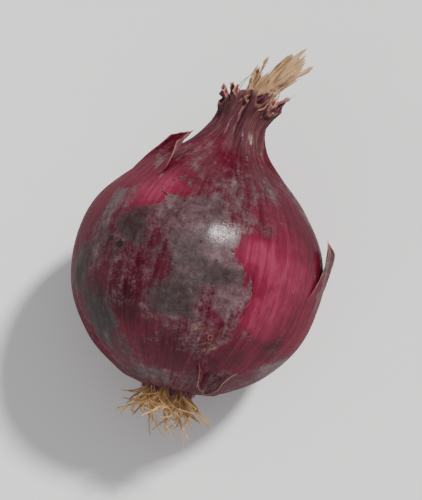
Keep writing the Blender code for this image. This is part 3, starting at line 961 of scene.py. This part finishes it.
def add_leaf_ends(pile):
    rng = random.Random(LEAF_SEED)
    split = random.Random(SPLIT_SEED)
    for index in range(LEAF_COUNT):
        around = math.tau * (index + 0.3 * rng.random()) / LEAF_COUNT
        tip = rng.uniform(44.5, 52.0) * MM
        spread = rng.uniform(0.8, 2.4) * MM * (tip - LEAF_BASE) / (9 * MM)
        turn = rng.uniform(-1.1, 1.1)
        add_leaf(pile, 90 + 5 * index, around, tip, spread, turn, 0.80 * LEAF_WIDTH, LEAF_START, 0.08)
        for strand in range(LEAF_SPLITS):
            aside = around + split.uniform(-0.5, 0.5)
            end = tip * split.uniform(0.93, 1.0)
            wider = spread * split.uniform(0.7, 1.3)
            wide = split.uniform(0.5, 1.3) * MM
            start = LEAF_START + split.uniform(-0.3, 0.7) * MM
            number = 200 + 10 * index + 3 * strand
            add_leaf(pile, number, aside, end, wider, turn + split.uniform(-0.4, 0.4), wide, start, 0.15)
    extra = random.Random(SMALL_LEAF_SEED)
    for index in range(SMALL_LEAF_COUNT):
        around = math.tau * extra.random()
        tip = extra.uniform(41.5, 48.5) * MM
        spread = extra.uniform(0.3, 3.0) * MM
        turn = extra.uniform(-1.6, 1.6)
        wide = extra.uniform(1.0, 2.6) * MM
        start = extra.uniform(0.4, 3.0) * MM
        add_leaf(pile, 300 + 5 * index, around, tip, spread, turn, wide, start, extra.uniform(-0.2, 0.1))


def add_leaf_core(pile):
    """The rolled leaf bases that fill the neck, deeply folded lengthwise."""
    axial, radius, turn, faces = lathe(PLUG_PROFILE, PLUG_GAP, PLUG_SIDES)
    folds = 0.30 * np.cos(9 * turn + 0.8) + 0.22 * np.cos(17 * turn + 2.0) + 0.12 * np.cos(31 * turn)
    radius = radius * (1 + 0.16 * folds)
    axial = axial + 0.7 * MM * ring_noise(111, 12, turn, axial / MM) * smoothstep(38 * MM, 42 * MM, axial)
    grain = np.stack([turn * 3 * MM, axial, np.zeros_like(turn)], axis=-1)
    values = {"grain": grain, "tone": np.full_like(turn, -0.20), "edge": np.zeros_like(turn)}
    pile.add(bent_point(axial, radius, turn), faces, values)


def add_leaf_fibres(pile):
    """Loose threads of dried leaf that stick out of the neck."""
    rng = random.Random(THREAD_SEED)
    v = np.linspace(0, 1, THREAD_POINTS)
    for index in range(THREAD_COUNT):
        around = math.tau * rng.random()
        start = rng.uniform(1.0, 5.2) * MM
        tip = rng.uniform(42.0, 50.0) * MM
        spread = rng.uniform(-1.5, 4.0) * MM
        curl = rng.uniform(-1.4, 1.4)
        axial = THREAD_BASE + (tip - THREAD_BASE) * v
        radius = start + spread * v ** 2
        wave = 0.35 * MM * np.sin(9 * v + index)
        path = bent_point(axial, np.abs(radius) + wave * v, around + curl * v ** 2)
        radii = rng.uniform(0.07, 0.16) * MM * (1 - 0.6 * v)
        tone = np.full_like(v, rng.uniform(-0.1, 0.25))
        values = {"grain": thread_grain(v, index * 0.01), "tone": tone, "edge": 0 * v}
        pile.add_tube(path, radii, THREAD_SIDES, values)


PLATE_PROFILE = MM * np.array([(-24.9, 5.3), (-26.2, 5.2), (-27.1, 4.2), (-27.6, 2.2), (-27.7, 0.3)])
PLATE_GAP = 0.25 * MM
PLATE_SIDES = 80
ROOT_COUNT = 40
ROOT_THICKNESS = 0.36 * MM
ROOT_GAP = 0.5 * MM
ROOT_POINTS = 9
ROOT_SIDES = 6
ROOT_SEED = 11
ROOT_START = -26.4 * MM
ROOT_SPREAD = 3.9 * MM
FINE_ROOT_COUNT = 96
FINE_ROOT_SEED = 141
FINE_ROOT_SPREAD = 4.5 * MM
ROOT_CLEAR = -27.6 * MM
ROOT_LOWEST = 0.4 * MM
GOLDEN_ANGLE = math.pi * (3 - math.sqrt(5))


def add_root_plate(pile):
    axial, radius, turn, faces = lathe(PLATE_PROFILE, PLATE_GAP, PLATE_SIDES)
    bumps = ring_noise(131, 20, turn, radius / (0.5 * MM))
    bumps = bumps + 0.6 * ring_noise(132, 41, turn, radius / (0.25 * MM))
    radius = radius + 0.12 * MM * bumps * smoothstep(0.5 * MM, 2 * MM, radius)
    rings = bent_point(axial - 0.16 * MM * np.abs(bumps), radius, turn)
    pile.add(rings, faces, {"tone": np.zeros_like(turn)})


def root_path(rng, index, count, lengths, spread, curls):
    """Points of one curly root: out of the plate, away from the axis, clear of the bulb."""
    around = GOLDEN_ANGLE * index + rng.uniform(-0.3, 0.3)
    share = math.sqrt((index + 0.5) / count)
    lean = math.radians(20 + 56 * share + rng.uniform(-12, 8))
    curl = rng.choice((-1, 1)) * rng.uniform(*curls)
    length = rng.uniform(*lengths)
    x = spread * share * math.sin(around)
    y = -spread * share * math.cos(around)
    z = ROOT_START
    points = [(x, y, z)]
    step = length / (ROOT_POINTS - 1)
    for place in range(1, ROOT_POINTS):
        done = place / (ROOT_POINTS - 1)
        heading = around + curl * done ** 1.3
        tilt = lean * (0.50 + 0.75 * done)
        x += step * math.sin(tilt) * math.sin(heading)
        y -= step * math.sin(tilt) * math.cos(heading)
        z = min(z - step * math.cos(tilt), ROOT_CLEAR)
        points.append((x, y, z))
    return points


def add_root(pile, points, thick, seed):
    line = smooth_line(points, ROOT_GAP)
    rng = np.random.default_rng(seed)
    v = np.linspace(0, 1, len(line))
    x, y, z = (part + 0.34 * MM * ragged(seed * 3 + axis, v, 5) * v for axis, part in enumerate(line.T))
    path = to_world(x, y, np.minimum(z, ROOT_START))
    path[:, 2] = np.maximum(path[:, 2], ROOT_LOWEST)
    radii = thick * (1 - 0.70 * v) * (1 + 0.20 * ragged(seed * 5, v, 9))
    tone = rng.uniform(-0.32, 0.26) - 0.10 * v
    values = {"grain": thread_grain(v, rng.uniform(0, 0.5)), "tone": tone}
    pile.add_tube(path, radii, ROOT_SIDES, values)


def add_roots(pile):
    rng = random.Random(ROOT_SEED)
    for index in range(ROOT_COUNT):
        points = root_path(rng, index, ROOT_COUNT, (8.0 * MM, 13.5 * MM), ROOT_SPREAD, (0.6, 3.6))
        add_root(pile, points, ROOT_THICKNESS, index)
    extra = random.Random(FINE_ROOT_SEED)
    for index in range(FINE_ROOT_COUNT):
        lengths = (4.0 * MM, 14.5 * MM)
        points = root_path(extra, index, FINE_ROOT_COUNT, lengths, FINE_ROOT_SPREAD, (1.8, 6.0))
        add_root(pile, points, extra.uniform(0.13, 0.27) * MM, 200 + index)


FRINGE_COUNT = 16
FRINGE_SEED = 151
FRINGE_RADIUS = 5.9 * MM
FRINGE_BASE = -25.6 * MM


def add_base_fringe(pile):
    """Ragged rim of dry skin that stands round the root plate."""
    rng = random.Random(FRINGE_SEED)
    u, v, share = sheet_grid(15, 15)
    for index in range(FRINGE_COUNT):
        around = math.tau * (index + rng.uniform(0.1, 0.9)) / FRINGE_COUNT
        wide = rng.uniform(1.6, 3.4) * MM
        reach = rng.uniform(1.2, 2.8) * MM
        out = rng.uniform(-0.6, 0.9) * MM
        width = 0.5 * wide * (1 - 0.5 * v ** 1.5) * (1 + 0.15 * ragged(160 + index, v, 5))
        radius = FRINGE_RADIUS + out * v ** 1.5 + 0.18 * MM * np.sin(7 * u + index) * v
        axial = FRINGE_BASE - reach * v * (1 + 0.25 * ragged(180 + index, share, 4))
        place = (axial, radius, around + width * u / radius)
        tone = rng.uniform(-0.2, 0.1)
        edge = torn_edge(u, v, 0.2, 0.85)
        add_free_sheet(pile, 170 + index, (u, v), place, tone, edge, (wide, reach), SHEET_THICKNESS)


def dress(piece, node):
    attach(piece, "root")
    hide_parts(node)


# Studio
CAMERA_AZIMUTH = math.radians(14)
CAMERA_ELEVATION = math.radians(78)
CAMERA_LENS = 150.0
CAMERA_DISTANCE = 0.465
CAMERA_TARGET = Vector((0.001, -0.0005, 0.026))
FLOOR_SIZE = 4.0
FLOOR_DROP = 0.0001
LIGHT_TARGET = Vector((0, 0, 0.027))
KEY_PLACE = Vector((0.27, 0.37, 0.62))
# Light of the surroundings by how far up it comes from
SKY = [(0.0, 1.02, 1.02, 1.02), (0.40, 0.19, 0.19, 0.20)]


def aimed(name, data, place, direction):
    """An object at a place, turned so that it looks or shines in a direction."""
    made = linked(name, data)
    made.location = place
    made.rotation_mode = "QUATERNION"
    made.rotation_quaternion = direction.to_track_quat("-Z", "Y")
    return made


def make_camera():
    data = bpy.data.cameras.new("camera")
    data.lens = CAMERA_LENS
    level = math.cos(CAMERA_ELEVATION)
    back = Vector((
        math.sin(CAMERA_AZIMUTH) * level,
        -math.cos(CAMERA_AZIMUTH) * level,
        math.sin(CAMERA_ELEVATION),
    ))
    bpy.context.scene.camera = aimed("camera", data, CAMERA_TARGET + back * CAMERA_DISTANCE, -back)


def add_light(name, kind, place, direction, **settings):
    data = bpy.data.lights.new(name, kind)
    for key, value in settings.items():
        setattr(data, key, value)
    aimed(name, data, place, direction)


def add_softbox(name, place, size, power, colour):
    """A square light that faces the onion."""
    settings = {"shape": "RECTANGLE", "size": size, "size_y": size, "energy": power, "color": colour}
    add_light(name, "AREA", place, LIGHT_TARGET - Vector(place), **settings)


def make_studio(material):
    corners = FLOOR_SIZE / 2 * np.array([(-1, -1, 0), (1, -1, 0), (1, 1, 0), (-1, 1, 0)])
    floor = mesh_object("floor", corners, [(0, 1, 2, 3)], {}, material)
    floor.location.z = -FLOOR_DROP

    settings = {"angle": math.radians(7), "energy": 3.7, "color": (1.0, 0.98, 0.95)}
    add_light("key", "SUN", KEY_PLACE, -KEY_PLACE, **settings)
    add_softbox("fill", (-0.30, -0.75, 0.55), 0.7, 1.8, (0.98, 0.98, 1.0))
    add_softbox("top", (0.0, 0.1, 1.2), 1.2, 3.0, (1.0, 1.0, 1.0))
    sky = Shading("studio", bpy.data.worlds, "Background")
    rise = sky.node("ShaderNodeSeparateXYZ", {"Vector": sky.place("Generated")}, "Z")
    bpy.context.scene.world = sky.surface(Color=sky.ramp(rise, SKY))


make_camera()
make_studio(floor_material())

skin_material = onion_skin()
collar_material = collar_skin()
leaf_material = dry_leaf()

PIECES = [
    ("loose_skin", add_loose_skin, skin_material, "bulb", "onion_skin"),
    ("film_edges", add_film_edges, skin_material, "bulb", "onion_skin"),
    ("neck_collar", add_neck_collar, collar_material, "bulb", "onion_skin"),
    ("base_fringe", add_base_fringe, collar_material, "bulb", "onion_skin"),
    ("leaf_ends", add_leaf_ends, leaf_material, "neck_leaves", "dry_leaf"),
    ("leaf_core", add_leaf_core, leaf_material, "neck_leaves", "dry_leaf"),
    ("leaf_fibres", add_leaf_fibres, leaf_material, "neck_leaves", "dry_leaf"),
    ("root_plate", add_root_plate, root_plate(), "root_tuft", "dry_root"),
    ("roots", add_roots, dry_root(), "root_tuft", "dry_root"),
]

dress(make_bulb_skin(skin_material), "bulb")
for name, add_shapes, material, node, slot in PIECES:
    pile = Pile()
    add_shapes(pile)
    dress(pile.finish(name, material), node)
